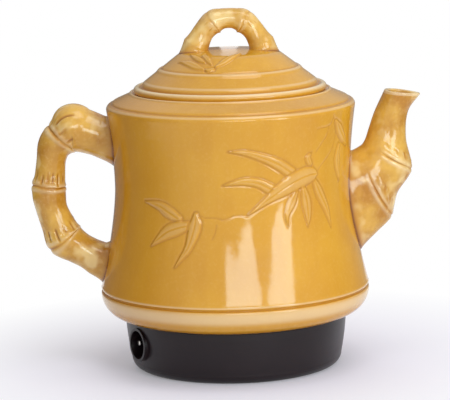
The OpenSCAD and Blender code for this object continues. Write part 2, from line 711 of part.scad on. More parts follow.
// The back end of a contact pin, and places behind it
function behind_pin(side, back) =
    let (x = pin_back - back, y = side * pin_pitch / 2)
    [x * cos(inlet_turn) - y * sin(inlet_turn), x * sin(inlet_turn) + y * cos(inlet_turn), inlet_z];

wire_z = shield_z - stat_h - blade[2] - wire_gap;   // under the thermostat's blades
module live_wire() color("brown")
    wire([behind_pin(-1, wire_gap), behind_pin(-1, tail + 3), [-2.7 * stat_r, -1, low_z + 5],
          [-1.1 * stat_r, stat_y - stat_r, low_z], [0, stat_y - stat_r / 2, wire_z - 3],
          [0, stat_y - stat_r / 2, wire_z]]);

module link_wire() color("brown")
    wire([[0, stat_y + stat_r / 2, wire_z], [0, stat_y + stat_r / 2, wire_z - 3],
          [fuse_x / 3, 2 * stat_y, low_z], [fuse_x - 6, 2 * stat_y, shield_z - 17],
          [fuse_x, fuse_l, shield_z - fuse_r - 0.8],
          [fuse_x, fuse_l / 2 + wire_gap, shield_z - fuse_r]]);

module heater_wire() color("brown")
    wire([[fuse_x, -fuse_l / 2 - wire_gap, shield_z - fuse_r],
          [fuse_x, -fuse_l, shield_z - fuse_r - 0.8],
          [(fuse_x + terminal_x[1]) / 2, -1.4 * fuse_l, terminal_low - 8],
          [terminal_x[1], -fuse_l / 2, terminal_low - 9],
          [terminal_x[1], terminal_y, terminal_low - 4],
          [terminal_x[1], terminal_y, terminal_low - wire_gap]]);

module neutral_wire() color("blue")
    wire([behind_pin(1, wire_gap), behind_pin(1, tail + 3), [-terminal_x[0] / 2, -22, low_z + 8],
          [terminal_x[0] / 2, -14, low_z + 6],
          [terminal_x[0], terminal_y, terminal_low - 4],
          [terminal_x[0], terminal_y, terminal_low - wire_gap]]);

pot_body();
spout();
handle();
lid();
lid_loop();
lid_leaves();
seal_ring();
base_housing();
bottom_cover();
cover_screws();
inlet_block();
inlet_pins();
heater_plate();
heater_coil();
heater_terminals();
insulation_pad();
heat_shield();
shield_screws();
thermostat();
thermostat_screws();
thermal_fuse();
live_wire();
link_wire();
heater_wire();
neutral_wire();
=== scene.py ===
"""Looks of an electric stoneware pot for decocting herbs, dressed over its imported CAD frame."""
import math

import bpy
import numpy as np
from mathutils import Matrix, Vector


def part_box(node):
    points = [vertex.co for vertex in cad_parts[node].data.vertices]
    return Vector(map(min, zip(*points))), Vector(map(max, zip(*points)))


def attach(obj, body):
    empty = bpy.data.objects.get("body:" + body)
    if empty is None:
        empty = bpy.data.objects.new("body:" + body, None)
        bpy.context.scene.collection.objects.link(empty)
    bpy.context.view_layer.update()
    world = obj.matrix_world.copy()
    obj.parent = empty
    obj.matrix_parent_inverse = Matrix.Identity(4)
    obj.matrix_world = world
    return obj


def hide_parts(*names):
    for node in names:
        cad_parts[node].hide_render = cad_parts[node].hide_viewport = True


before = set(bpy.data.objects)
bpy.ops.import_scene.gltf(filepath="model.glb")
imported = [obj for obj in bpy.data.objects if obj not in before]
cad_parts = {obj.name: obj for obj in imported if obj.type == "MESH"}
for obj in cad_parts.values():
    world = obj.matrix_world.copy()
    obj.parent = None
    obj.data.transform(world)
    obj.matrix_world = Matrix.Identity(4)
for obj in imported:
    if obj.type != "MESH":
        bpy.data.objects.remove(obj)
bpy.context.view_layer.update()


# ---- Pot body ----
# A stoneware body, turned on the wheel: a rounded foot and bead, a waist, a shoulder with a fine
# groove, and a low collar round the lid. Two sprigs of bamboo stand in low relief on the front,
# modelled in the leather-hard clay, and an amber glaze pools along their edges.
MM = 0.001
foot_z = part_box("pot_body")[0].z / MM
seat_z = foot_z + 174.0
foot_r, bead_r, waist_r, shoulder_r = 86.3, 104.8, 91.5, 96.5
bead_z, waist_z, shoulder_z = foot_z + 18.5, foot_z + 101.0, seat_z - 12.0
flare_z, flare_r = bead_z + 5.5, bead_r - 0.6
mouth_r, collar_r, recess_r = 66.0, 76.0, 70.0
wall, floor_z, plate_top = 6.0, foot_z + 10.0, foot_z + 3.0


def wall_radius(z):
    """Outer radius of the wall between the bead and the shoulder, at heights z."""
    low = np.clip((waist_z - z) / (waist_z - flare_z), 0, 1) ** 1.5
    high = np.clip((z - waist_z) / (shoulder_z - waist_z), 0, 1) ** 1.9
    return waist_r + (flare_r - waist_r) * low + (shoulder_r - waist_r) * high


def outline(corners, step=1.2):
    """Points of an outline through corners (r, z, fillet radius), about a step apart."""
    out = []
    for i, (r, z, fillet) in enumerate(corners):
        here = np.array([r, z], float)
        if fillet == 0 or i in (0, len(corners) - 1):
            out.append(here)
            continue
        a, b = (np.array(corners[j][:2], float) - here for j in (i - 1, i + 1))
        cut = min(fillet, 0.45 * np.hypot(*a), 0.45 * np.hypot(*b))
        a, b = (here + v * cut / np.hypot(*v) for v in (a, b))
        for t in np.linspace(0, 1, 7):
            out.append((1 - t) ** 2 * a + 2 * t * (1 - t) * here + t * t * b)
    points = [out[0]]
    for here in out[1:]:
        gap = np.hypot(*(here - points[-1]))
        if gap < 1e-6:
            continue
        start, n = points[-1], max(1, math.ceil(gap / step))
        points.extend(start + (here - start) * k / n for k in range(1, n + 1))
    return np.array(points)


def smooth_path(points, count):
    """Smooth curve through the rows of points, as count rows."""
    p = np.asarray(points, float)
    ends = np.vstack([2 * p[0] - p[1], p, 2 * p[-1] - p[-2]])
    u = np.linspace(0, len(p) - 1, count)
    i = np.minimum(u.astype(int), len(p) - 2)
    t = (u - i)[:, None]
    a, b, c, d = ends[i], ends[i + 1], ends[i + 2], ends[i + 3]
    return 0.5 * (2 * b + (c - a) * t + (2 * a - 5 * b + 4 * c - d) * t ** 2
                  + (3 * b - a - 3 * c + d) * t ** 3)


def nearest_on_path(x, y, path):
    """Distance from points (x, y) to a path, and the path's other columns where it is nearest."""
    best = np.full(x.shape, np.inf)
    kept = np.zeros(x.shape + (path.shape[1] - 2,))
    for a, b in zip(path[:-1], path[1:]):
        along = b[:2] - a[:2]
        t = np.clip(((x - a[0]) * along[0] + (y - a[1]) * along[1]) / (along @ along + 1e-12), 0, 1)
        gap = np.hypot(x - a[0] - t * along[0], y - a[1] - t * along[1])
        nearer = gap < best
        best = np.where(nearer, gap, best)
        kept[nearer] = (a[2:] + t[..., None] * (b[2:] - a[2:]))[nearer]
    return best, kept


def leaf_relief(x, y, leaf, rise, edge=0.75):
    """Height and glaze pooling of one leaf: its spine runs through (x, y, half width)."""
    gap, width = nearest_on_path(x, y, smooth_path(leaf, 36))
    width = np.maximum(width[..., 0], 0.15)
    inside = np.clip(1 - (gap / width) ** 2, 0, 1)
    rim = np.exp(-((gap - width - 0.2) / edge) ** 2)
    vein = np.exp(-(gap / 0.45) ** 2) * np.clip(width / 3 - 0.4, 0, 1)
    height = rise * np.sqrt(inside) - 0.45 * rise * vein - 0.55 * rise * rim
    return height, 0.6 * rim + 0.3 * vein - 0.16 * inside * (1 - vein)


def line_relief(x, y, line, depth, width=0.5):
    """Height and glaze pooling of a line that is cut with the point of a knife."""
    gap, _ = nearest_on_path(x, y, smooth_path([p + (0,) for p in line], 30))
    cut = np.exp(-(gap / width) ** 2)
    return -depth * cut, 0.5 * cut


# Places on the wall: millimetres round it from the front's middle, and height above the table
bamboo_leaves = [
    [(70, 158, 0.8), (67.5, 158.4, 4.4), (62, 158.4, 6.6), (52, 156, 7.2), (41, 151.2, 6.4),
     (26.5, 143, 3.2), (10, 131.7, 0.2)],
    [(46, 161.5, 4.6), (36, 168.5, 4.3), (25, 174, 3.4), (10, 179.2, 2.2), (-3, 180.5, 0.2)],
    [(29, 150.5, 4.4), (19, 156, 3.6), (7, 157.5, 2.7), (-8, 154.8, 0.2)],
    [(62.5, 166.5, 2.6), (60.8, 171.5, 2.6), (63.5, 175, 0.4)],
    [(50, 148, 2.2), (45.8, 139, 3.6), (41.3, 130, 1.9), (41.6, 121.5, 0.2)],
    [(56.5, 149, 2.4), (59, 138.5, 4.6), (59.6, 128, 3.2), (58.7, 119.5, 0.2)],
    [(67, 154, 2.2), (72.8, 143.5, 4.2), (79.3, 131, 3.3), (83, 116, 0.2)],
    [(90, 196, 1.6), (97, 188.5, 4.4), (105, 180.5, 3.4), (112, 174, 0.3)],
    [(97, 177, 1.6), (95.8, 165, 4.2), (99.5, 148.5, 0.3)],
    [(-28.5, 133, 2.0), (-29, 124, 5.0), (-34, 108, 3.1), (-39.5, 99.5, 1.7), (-44.2, 92.5, 0.2)],
    [(-34.5, 124.5, 3.4), (-43.7, 122, 5.4), (-53, 117.8, 4.8), (-66, 107, 0.2)],
    [(-42.5, 129.5, 3.4), (-51.4, 134.2, 4.8), (-60, 138.3, 3.4), (-74.5, 140.3, 0.2)],
]
bamboo_twigs = [
    [(66, 155), (73.3, 163), (82.4, 170.2), (88.4, 177.1), (91, 189), (86.2, 201)],
    [(86.5, 199.6), (82.3, 194), (69, 192.6)],
    [(82.3, 194), (79.6, 186.7), (74.4, 181.2), (68.4, 175)],
    [(11.6, 131.6), (1.2, 132), (-6.3, 129.2), (-13.7, 130.4), (-21.3, 130.7), (-26, 132.1)],
    [(-13, 125), (-13.8, 119.6), (-16, 114.5)],
]


def bamboo(across, z):
    """Height of the relief on the wall, and how the glaze pools on it."""
    height, pool = np.zeros_like(z), np.zeros_like(z)
    layers = [(line, line_relief, 0.35) for line in bamboo_twigs]
    layers += [(leaf, leaf_relief, 0.8) for leaf in bamboo_leaves[::-1]]
    for shape, relief, size in layers:
        xs, zs = [p[0] for p in shape], [p[1] for p in shape]
        near = ((across > min(xs) - 9) & (across < max(xs) + 9)
                & (z > min(zs) - 9) & (z < max(zs) + 9))
        h, p = relief(across[near], z[near], shape, size)
        cover = np.clip(h / size * 3, 0, 1) if relief is leaf_relief else 0
        height[near] = height[near] * (1 - cover) + h
        left = pool[near] * (1 - cover)
        pool[near] = np.where(np.abs(p) > np.abs(left), p, left)
    return height, pool


def turned_columns(start, *sectors):
    """Angles round an axis from the front, over sectors given by their end and step in degrees."""
    angles = []
    for end, step in sectors:
        angles.append(np.linspace(start, end, round((end - start) / step), endpoint=False))
        start = end
    return np.radians(np.concatenate(angles))


def grid_faces(rows, columns, closed=False):
    """Quads of a grid whose columns close on themselves, and its rows too if closed."""
    i, k = np.meshgrid(np.arange(rows if closed else rows - 1), np.arange(columns), indexing="ij")
    j, l = (i + 1) % rows, (k + 1) % columns
    corners = [i * columns + k, i * columns + l, j * columns + l, j * columns + k]
    return np.stack(corners, -1).reshape(-1, 4)


def turned_points(reach, angles, z):
    """Points at distances from the axis, at angles from the front and at heights, row by row."""
    rows = np.stack([reach * np.sin(angles), -reach * np.cos(angles), z + 0 * reach], -1)
    return rows.reshape(-1, 3)


def end_fans(last, n, ring):
    """Triangles that close the first and the last ring of n; their middles follow last points."""
    after, middle = np.roll(ring, -1), np.full(len(ring), last)
    return [np.stack([middle, after, ring], 1),
            np.stack([middle + 1, last - n + ring, last - n + after], 1)]


def settled(thing):
    """A thing's mesh with its modifiers worked in, and the modifiers gone."""
    bpy.context.view_layer.update()
    worked = thing.evaluated_get(bpy.context.evaluated_depsgraph_get())
    mesh = bpy.data.meshes.new_from_object(worked)
    thing.modifiers.clear()
    return mesh


def new_object(name, data):
    """An object with its data, in the scene."""
    made = bpy.data.objects.new(name, data)
    bpy.context.scene.collection.objects.link(made)
    return made


def make_piece(name, points, quads, material, body, nodes, pool, fans=(), cutter=None):
    """A smooth mesh from points in millimetres that rides on a body and stands for CAD nodes.

    Pool is how the glaze pools at each point, or 0 at the points that it doesn't reach to.
    """
    mesh = bpy.data.meshes.new(name)
    faces = [quads, *fans]
    corners = np.concatenate([np.ravel(f) for f in faces])
    sizes = np.concatenate([np.full(len(f), f.shape[1]) for f in faces])
    used, corners = np.unique(corners, return_inverse=True)
    count, points = len(points), points[used]
    mesh.vertices.add(len(points))
    mesh.vertices.foreach_set("co", np.ravel(points) * MM)
    mesh.loops.add(len(corners))
    mesh.loops.foreach_set("vertex_index", corners.astype(np.int32))
    mesh.polygons.add(len(sizes))
    mesh.polygons.foreach_set("loop_start", (np.cumsum(sizes) - sizes).astype(np.int32))
    mesh.update(calc_edges=True)
    mesh.validate()
    mesh.shade_smooth()
    pool = np.pad(np.ravel(pool), (0, count - np.size(pool)))[used]
    mesh.attributes.new("pool", "FLOAT", "POINT").data.foreach_set("value", pool)
    mesh.materials.append(material)
    piece = new_object(name, mesh)
    if cutter:
        cut = piece.modifiers.new("cut", "BOOLEAN")
        cut.operation, cut.solver, cut.object = "DIFFERENCE", "MANIFOLD", cutter
        piece.data = settled(piece)
        bpy.data.objects.remove(cutter)
    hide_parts(*nodes)
    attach(piece, body)


def put(tree, value, socket):
    """Sets an input to a value, or links it from a socket."""
    if isinstance(value, bpy.types.NodeSocket):
        tree.links.new(value, socket)
    else:
        socket.default_value = value


def add(tree, kind, inputs=None, **settings):
    """A node with its settings, and its inputs: values, or sockets to link from."""
    made = tree.nodes.new(kind)
    for key, value in settings.items():
        setattr(made, key, value)
    for key, value in (inputs or {}).items():
        put(tree, value, made.inputs[key])
    return made


def calc(tree, operation, a, b):
    """The product, difference or the like of two values."""
    return add(tree, "ShaderNodeMath", {0: a, 1: b}, operation=operation).outputs[0]


def noise(tree, place, scale, detail):
    """A noise, around 0.5, at each place."""
    made = add(tree, "ShaderNodeTexNoise", {"Vector": place, "Scale": scale, "Detail": detail})
    return made.outputs[0]


def stretched(tree, place, scale):
    """Places drawn out by a factor along each axis."""
    return add(tree, "ShaderNodeMapping", {"Vector": place, "Scale": scale}).outputs[0]


def scaled(tree, value, low, high, to_low, to_high):
    """A value carried from one range to another, held at its ends."""
    return add(tree, "ShaderNodeMapRange", {
        "Value": value, "From Min": low, "From Max": high,
        "To Min": to_low, "To Max": to_high}).outputs[0]


def tinted(tree, tone, colour, value, low=0.0, high=1.0, amount=1.0):
    """A tone that turns to a colour, up to an amount, as a value goes from low to high."""
    share = scaled(tree, value, low, high, 0.0, amount)
    return add(tree, "ShaderNodeMix", {0: share, 6: tone, 7: colour}, data_type="RGBA").outputs[2]


def new_material(name, **shader):
    """A material with plain values in its shader, its tree, and places in its piece's frame."""
    material = bpy.data.materials.new(name)
    material.use_nodes = True
    tree = material.node_tree
    surface = tree.nodes["Principled BSDF"]
    for key, value in shader.items():
        surface.inputs[key.replace("_", " ")].default_value = value
    return material, tree, add(tree, "ShaderNodeTexCoord").outputs["Object"]


def finish(material, tone, roughness, height, strength, distance):
    """The material with its colour, its roughness, and a bump of so many metres from a height."""
    tree = material.node_tree
    bump = add(tree, "ShaderNodeBump", {
        "Height": height, "Strength": strength, "Distance": distance})
    for key, value in (("Base Color", tone), ("Roughness", roughness), ("Normal", bump.outputs[0])):
        put(tree, value, tree.nodes["Principled BSDF"].inputs[key])
    return material


def glaze(name, amber, deep, pale, painted_side_shade=0.0, drift_scale=17.0, contrast=0.45, patchy=0.0):
    """Glossy amber glaze: it drifts in tone, runs down, pools in hollows and thins on high edges.

    The side shade amount is painted shade: how much deeper the tone is made towards the handle's
    side, which the light reaches less. Contrast is how much of the deep tone the drift brings in.
    Patchy is how pale it broke where it ran thin.
    """
    material, tree, place = new_material(name, IOR=1.52)
    mottle = noise(tree, place, 420.0, 4.0)
    runs = noise(tree, stretched(tree, place, (110.0, 110.0, 13.0)), 1.0, 2.0)
    tone = tinted(tree, amber, deep, noise(tree, place, drift_scale, 3.0), 0.38, 0.66, contrast)
    tone = tinted(tree, tone, deep, runs, 0.45, 0.75, 0.22)
    tone = tinted(tree, tone, pale, mottle, 0.5, 0.8, 0.18)
    if patchy:
        tone = tinted(tree, tone, pale, noise(tree, place, 58.0, 2.0), 0.54, 0.68, patchy)
    # Painted shade: the tone turns deeper towards the handle's side, away from the light
    if painted_side_shade:
        reach = add(tree, "ShaderNodeSeparateXYZ", {"Vector": place}).outputs[0]
        tone = tinted(tree, tone, deep, reach, -0.02, -0.10, painted_side_shade)
    pool = add(tree, "ShaderNodeAttribute", attribute_name="pool").outputs["Fac"]
    tone = tinted(tree, tone, deep_pool, pool, 0.0, 1.0, 0.8)
    tone = tinted(tree, tone, joint_brown, pool, 1.0, 2.0, 0.85)
    tone = tinted(tree, tone, cream_rim, pool, 0.0, -1.0, 0.9)
    cells = add(tree, "ShaderNodeTexVoronoi", {"Vector": place, "Scale": 75.0, "Randomness": 1.0})
    rare = scaled(tree, cells.outputs["Color"], 0.93, 0.95, 0.0, 1.0)
    dot = scaled(tree, cells.outputs["Distance"], 0.09, 0.05, 0.0, 0.75)
    tone = tinted(tree, tone, iron_speck, calc(tree, "MULTIPLY", rare, dot))
    skin = calc(tree, "ADD", noise(tree, place, 55.0, 1.5), calc(tree, "MULTIPLY", mottle, 0.04))
    return finish(material, tone, scaled(tree, mottle, 0.3, 0.7, 0.06, 0.13), skin, 0.25, 0.0008)


deep_pool = (0.45, 0.17, 0.012, 1)
cream_rim = (0.92, 0.76, 0.47, 1)
joint_brown = (0.17, 0.05, 0.008, 1)
iron_speck = (0.10, 0.03, 0.01, 1)
# The body's glaze gets painted shade on its handle side
body_glaze = glaze("amber glaze on the body", (0.69, 0.35, 0.022, 1), (0.56, 0.24, 0.010, 1),
                   (0.80, 0.50, 0.14, 1), painted_side_shade=0.6)

bowl_turn = np.radians(np.arange(-90, 0.1, 4.5))
bowl = [(foot_r + (bead_r - foot_r) * math.cos(a), bead_z + (bead_z - foot_z) * math.sin(a), 0)
        for a in bowl_turn]
bead_groove = [(bead_r - 0.3, bead_z + 1.0, 0.6), (bead_r - 2.0, bead_z + 2.1, 1.0),
               (bead_r - 0.3, bead_z + 3.6, 0.8), (bead_r - 0.1, bead_z + 4.4, 0.4)]
shoulder_round, slope_r, slope_z = 4.5, shoulder_r - 3.6, shoulder_z + 4.9
shoulder = [(shoulder_r - shoulder_round * (1 - math.cos(a)),
             shoulder_z + shoulder_round * math.sin(a), 0)
            for a in np.radians(np.arange(8, 61, 6.0))]
shoulder += [(slope_r + 0.3, slope_z - 0.9, 0.5), (slope_r - 0.6, slope_z - 0.8, 0.5),
             (slope_r - 1.4, slope_z + 0.7, 0.6), (slope_r - 2.6, slope_z + 1.4, 0.8)]
collar = [(collar_r + 2.6, seat_z - 0.6, 0.8), (collar_r + 1.9, seat_z + 0.9, 0.6),
          (collar_r + 0.5, seat_z + 0.9, 0.6), (collar_r, seat_z, 0.3),
          (mouth_r + 1.5, seat_z, 0.8), (mouth_r, seat_z - 1.5, 0.8),
          (mouth_r, seat_z - 7.5, 1.5), (82.5, shoulder_z - 1, 3)]
inside_z = np.arange(shoulder_z - 13, floor_z + 13, -6.0)
inside = [(wall_radius(z) - wall, z, 0) for z in inside_z]
inside += [(98.0, floor_z + 6, 4), (90.0, floor_z, 8), (1.0, floor_z, 0)]
under = outline([(1.0, plate_top, 0), (recess_r, plate_top, 0.5), (recess_r, foot_z, 0.8)], 9.0)
lower = outline([(recess_r, foot_z, 0.8), (foot_r - 1, foot_z, 1.2)] + bowl + bead_groove, 1.5)
# The relief lies above one height and in one sector, in degrees from the front: rows and columns
# are close together only there
relief_low, relief_start, relief_end, relief_step = 88, -58, 74, 132 / 272
relief_z = np.arange(flare_z, shoulder_z, 0.8)
plain = relief_z < relief_low
wall_z = np.concatenate([relief_z[plain][::2], relief_z[~plain]])
wall_rows = np.stack([wall_radius(wall_z), wall_z], 1)
upper = outline(shoulder + collar, 1.4)
inner = outline([tuple(upper[-1]) + (0,)] + inside, 9.0)
rows = np.vstack([under, lower[1:], wall_rows, upper, inner[1:]])
round_wall = turned_columns(-114, (relief_start, 1.75), (relief_end, relief_step),
                            (114, 1.6), (246, 6))
fine_columns = ((round_wall > math.radians(relief_start + 0.1))
                & (round_wall < math.radians(relief_end - 0.1)))

# Where the canes join the wall: side, height, and half the width and the height of each joint
handle_top, handle_low = seat_z - 37.0, foot_z + 42.0
spout_foot, spout_root_h = foot_z + 47.0, 76.5
spout_root_z = spout_foot + spout_root_h / 2
wall_joints = [(-1, handle_top, 16.9, 18.7), (-1, handle_low, 15.0, 15.9),
               (1, spout_root_z, 19, 38.3)]

# Glaze thins over the bead, the collar and the shoulder's edge, and pools in the grooves
row_r, row_z = rows[:, 0], rows[:, 1]
outer_rows = np.arange(len(rows)) < len(rows) - len(inner)
row_pool = np.zeros(len(rows))
for low, high, amount in (
        (bead_z + 1.3, bead_z + 2.7, 0.75), (bead_z + 3.7, bead_z + 5.2, -0.45),
        (bead_z - 9, bead_z + 0.9, -0.55), (foot_z + 0.3, foot_z + 3.5, 0.6),
        (slope_z - 1.2, slope_z - 0.2, 0.6), (slope_z - 3.0, slope_z - 1.4, -0.35),
        (seat_z - 0.2, seat_z + 2, -0.4)):
    middle, half = (low + high) / 2, (high - low) / 2
    row_pool += amount * np.exp(-((row_z - middle) / half) ** 4) * outer_rows
across = waist_r * round_wall
height, pool = bamboo(np.tile(across, len(wall_z)), np.repeat(wall_z, len(across)))
relief = np.zeros((len(rows), len(across)))
body_pool = np.tile(row_pool[:, None], len(across))
first = len(under) + len(lower) - 1         # the wall's first row
relief[first:first + len(wall_z)] = height.reshape(len(wall_z), -1)
body_pool[first:first + len(wall_z)] += pool.reshape(len(wall_z), -1)
for side, z, half_y, half_z in wall_joints:
    off = np.hypot(row_r[:, None] * np.cos(round_wall) / half_y, (row_z[:, None] - z) / half_z)
    facing = (np.sin(round_wall) * side > 0) * outer_rows[:, None]
    body_pool += 2.0 * np.exp(-((off - 1.04) / 0.07) ** 2) * facing
points = turned_points(row_r[:, None] + relief, round_wall, row_z[:, None])

# The strainer is punched through the wall behind the spout while the clay is soft: three columns
# of holes, of which the outer two have one hole less and lie half a step off the middle one.
hole, pitch, hole_rows = 3.0, 7.0, 7
tree = bpy.data.node_groups.new("strainer punches", "GeometryNodeTree")
for label, kind in (("Hole", "Float"), ("Pitch", "Float"), ("Rows", "Int"), ("Through", "Float"),
                    ("Material", "Material")):
    tree.interface.new_socket(label, in_out="INPUT", socket_type="NodeSocket" + kind)
tree.interface.new_socket("Geometry", in_out="OUTPUT", socket_type="NodeSocketGeometry")
given = add(tree, "NodeGroupInput").outputs
columns = add(tree, "GeometryNodeJoinGeometry")
for side in (-1, 0, 1):
    holes = calc(tree, "SUBTRACT", given["Rows"], abs(side))
    half = calc(tree, "MULTIPLY", calc(tree, "SUBTRACT", holes, 1.0), -0.5)
    lowest = add(tree, "ShaderNodeCombineXYZ", {
        "Y": calc(tree, "MULTIPLY", given["Pitch"], side),
        "Z": calc(tree, "MULTIPLY", half, given["Pitch"])})
    step = add(tree, "ShaderNodeCombineXYZ", {"Z": given["Pitch"]})
    line = add(tree, "GeometryNodeMeshLine", {
        "Count": holes, "Start Location": lowest.outputs[0],
        "Offset": step.outputs[0]}, mode="OFFSET")
    tree.links.new(line.outputs[0], columns.inputs[0])
punch = add(tree, "GeometryNodeMeshCylinder", {
    "Vertices": 20, "Radius": calc(tree, "MULTIPLY", given["Hole"], 0.5),
    "Depth": given["Through"]})
punches = add(tree, "GeometryNodeInstanceOnPoints", {
    "Points": columns.outputs[0], "Instance": punch.outputs[0], "Rotation": (0, math.pi / 2, 0)})
real = add(tree, "GeometryNodeRealizeInstances", {0: punches.outputs[0]})
glazed = add(tree, "GeometryNodeSetMaterial", {
    "Geometry": real.outputs[0], "Material": given["Material"]})
add(tree, "NodeGroupOutput", {"Geometry": glazed.outputs[0]})

punch_set = new_object("punches", bpy.data.meshes.new("punches"))
tool = punch_set.modifiers.new("strainer", "NODES")
tool.node_group = tree
values = {"Hole": hole * MM, "Pitch": pitch * MM, "Rows": hole_rows, "Through": 4 * wall * MM,
          "Material": body_glaze}
for item in tree.interface.items_tree:
    if item.name in values:
        tool[item.identifier] = values[item.name]
punch_set.data = settled(punch_set)
punch_set.data.transform(Matrix.Translation(Vector((waist_r, 0, spout_root_z)) * MM))

last = len(points)
points = np.vstack([points, [[0, 0, plate_top], [0, 0, floor_z]]])
n = len(across)

# Only the wall with the relief keeps all its columns: elsewhere every fourth is enough. Along a
# seam a face has the three columns between as corners too.
kept = np.array([k for k in range(n) if not fine_columns[k] or k % 4 == 0])
after = np.roll(kept, -1)
plain_rows = np.concatenate([np.arange(first - 1), np.arange(first + len(wall_z), len(rows) - 1)])
low, high = plain_rows[:, None] * n, plain_rows[:, None] * n + n
quads = [np.stack([low + kept, low + after, high + after, high + kept], -1).reshape(-1, 4),
         grid_faces(len(wall_z), n) + first * n]
seams = {4: [], 7: []}
for k, l in zip(kept, after):
    between = list(range(k + 1, l if l > k else n))
    for low in (first - 1, first + len(wall_z) - 1):
        under_it = [low * n + c for c in between] if low >= first else []
        over_it = [(low + 1) * n + c for c in between[::-1]] if low < first else []
        here, above = low * n, low * n + n
        seam = [here + k, *under_it, here + l, above + l, *over_it, above + k]
        seams[len(seam)].append(seam)
fans = [np.array(seams[4]), np.array(seams[7]), *end_fans(last, n, kept)]
make_piece("pot_body_glazed", points, np.vstack(quads), body_glaze, "pot", ["pot_body"],
           body_pool, fans, punch_set)


# ---- Handle ----
# A hollow cane of the same clay in four lengths, bent at three nodes and luted to the wall at both
# ends. Each node has a cut line between two swellings, and short gouges made with a loop tool.
handle_reach, grip_r = 51.5, 13.0
# From the upper root to the lower: share of the reach, share of the height, share of the grip
handle_stations = [
    (0.24, 1.05, 1.24), (0.45, 1.09, 1.32), (0.62, 1.11, 1.42), (0.79, 1.04, 1.22),
    (0.90, 0.96, 1.02), (0.95, 0.86, 0.88), (0.98, 0.72, 0.92), (1.00, 0.64, 1.01),
    (1.00, 0.55, 1.00), (0.965, 0.44, 0.94), (0.88, 0.315, 1.02), (0.78, 0.20, 1.16),
    (0.60, 0.125, 1.00), (0.44, 0.075, 0.97), (0.30, 0.03, 1.06)]
handle_nodes = [3, 7, 11]
# The upper bend's outer side comes to a corner: station, rise over the round cane, length
handle_knuckles = [(2.0, 1.1, 5.0), (2.8, -2.6, 6.5)]


def cane_relief(along, turn, radius, nodes, gouges):
    """Height and pooling on a cane, at places along it and turned round it, from its nodes."""
    height, pool = np.zeros(np.broadcast(along, turn).shape), 0
    for at in nodes:
        gap = along - at + 0.5 * np.sin(turn * 2 + at) + 0.3 * np.sin(turn * 3 + 1.7 * at)
        broken = 0.72 + 0.28 * np.sin(turn * 3 + 2.3 * at)
        line = np.exp(-(gap / 0.6) ** 2) * broken
        swelling = np.exp(-((np.abs(gap) - 2.4) / 1.5) ** 2)
        height = height + 0.4 * swelling - 0.6 * line
        pool = pool + 1.5 * line - 0.55 * swelling * broken
    for at, angle, length, width, depth in gouges:
        gap = along - at
        side = (np.mod(turn - math.radians(angle) + math.pi, 2 * math.pi) - math.pi) * radius
        taper = np.clip(0.45 + 0.55 * gap / length, 0.2, 1)
        ends = np.exp(-(2 * gap / length) ** 6)
        cut = ends * np.exp(-(side / (width * taper)) ** 2)
        lip = ends * np.exp(-((np.abs(side) / (width * taper) - 1.9) / 0.6) ** 2)
        height = height + depth * (0.3 * lip - cut)
        pool = pool + 1.6 * cut - 0.35 * lip
    return height, pool


def on_wall(side, y, z, sink=0.8):
    """Points just inside the wall's outer face, on the spout's side (1) or the handle's (-1)."""
    return np.stack([side * np.sqrt((wall_radius(z) - sink) ** 2 - y ** 2), y, z], -1)


def arc_lengths(path):
    """Distance along a path to each of its points."""
    steps = np.linalg.norm(np.diff(path, axis=0), axis=1)
    return np.concatenate([[0], np.cumsum(steps)])


def cane_rings(path, out, side):
    """Rings round a path: how far they reach from it in its upright plane, and to the side."""
    tangent = np.gradient(path, axis=0)
    tangent /= np.linalg.norm(tangent, axis=1)[:, None]
    return np.stack([path[:, :1] + tangent[:, 1:] * out, side,
                     path[:, 1:] - tangent[:, :1] * out], -1)


def root_rings(root, ring, flare):
    """Rings from a root's outline to a cane's first ring, with a small fillet at the root."""
    t = np.linspace(0, 1, root_count, endpoint=False)[:, None, None]
    return root + (ring - root) * t + (root - root.mean(0)) * flare * (1 - t) ** 5


def capped(rings):
    """Points, quads and end fans of a closed cane from its rings."""
    m, n = rings.shape[:2]
    points = np.vstack([rings.reshape(-1, 3), rings[0].mean(0), rings[-1].mean(0)])
    return points, grid_faces(m, n), end_fans(m * n, n, np.arange(n))


cane_sides, root_count = 72, 14
turns = np.linspace(0, 2 * math.pi, cane_sides, endpoint=False)
samples = 420
centre = smooth_path(handle_stations, samples)
path = np.stack([-(waist_r + centre[:, 0] * handle_reach),
                 handle_low + centre[:, 1] * (handle_top - handle_low)], 1)
along = arc_lengths(path)
steps = np.linspace(0, len(handle_stations) - 1, samples)
node_places = [np.interp(n, steps, along) for n in handle_nodes]
gouges = [(at - 6.6 - 1.3 * ((k + number) % 3), angle + 7 * math.sin(3 * number + k),
           8.0 + 2.0 * (k % 2), 1.15, 1.1 + 0.4 * ((k + number) % 2))
          for number, at in enumerate(node_places)
          for k, angle in enumerate((30, 75, 115, 160, 202, 228, 252, 277, 303, 330))]
thick = centre[:, 2] * grip_r
relief, handle_pool = cane_relief(along[:, None], turns[None], thick[:, None], node_places, gouges)
outward = np.clip(np.cos(turns), 0, 1)
for station, height, length in handle_knuckles:
    at = np.interp(station, steps, along)
    relief += height * np.exp(-((along[:, None] - at) / length) ** 2) * outward
radius = thick[:, None] + relief
rings = cane_rings(path, radius * np.cos(turns), 0.97 * radius * np.sin(turns))
top_root = on_wall(-1, 1.3 * grip_r * np.sin(turns), handle_top + 1.44 * grip_r * np.cos(turns))
low_root = on_wall(-1, 1.15 * grip_r * np.sin(turns), handle_low - 1.22 * grip_r * np.cos(turns))
rings = np.concatenate([root_rings(top_root, rings[0], 0.10), rings,
                        root_rings(low_root, rings[-1], 0.10)[::-1]])
root_pool = 3.6 * np.exp(-np.arange(root_count) / 1.8)[:, None] * np.ones(cane_sides)
handle_pool = np.vstack([root_pool, handle_pool, root_pool[::-1]])
cane_glaze = glaze("amber glaze on the canes", (0.75, 0.44, 0.070, 1), (0.45, 0.18, 0.010, 1),
                   (0.88, 0.66, 0.27, 1), drift_scale=42.0, contrast=0.85, patchy=0.75)
points, quads, fans = capped(rings)
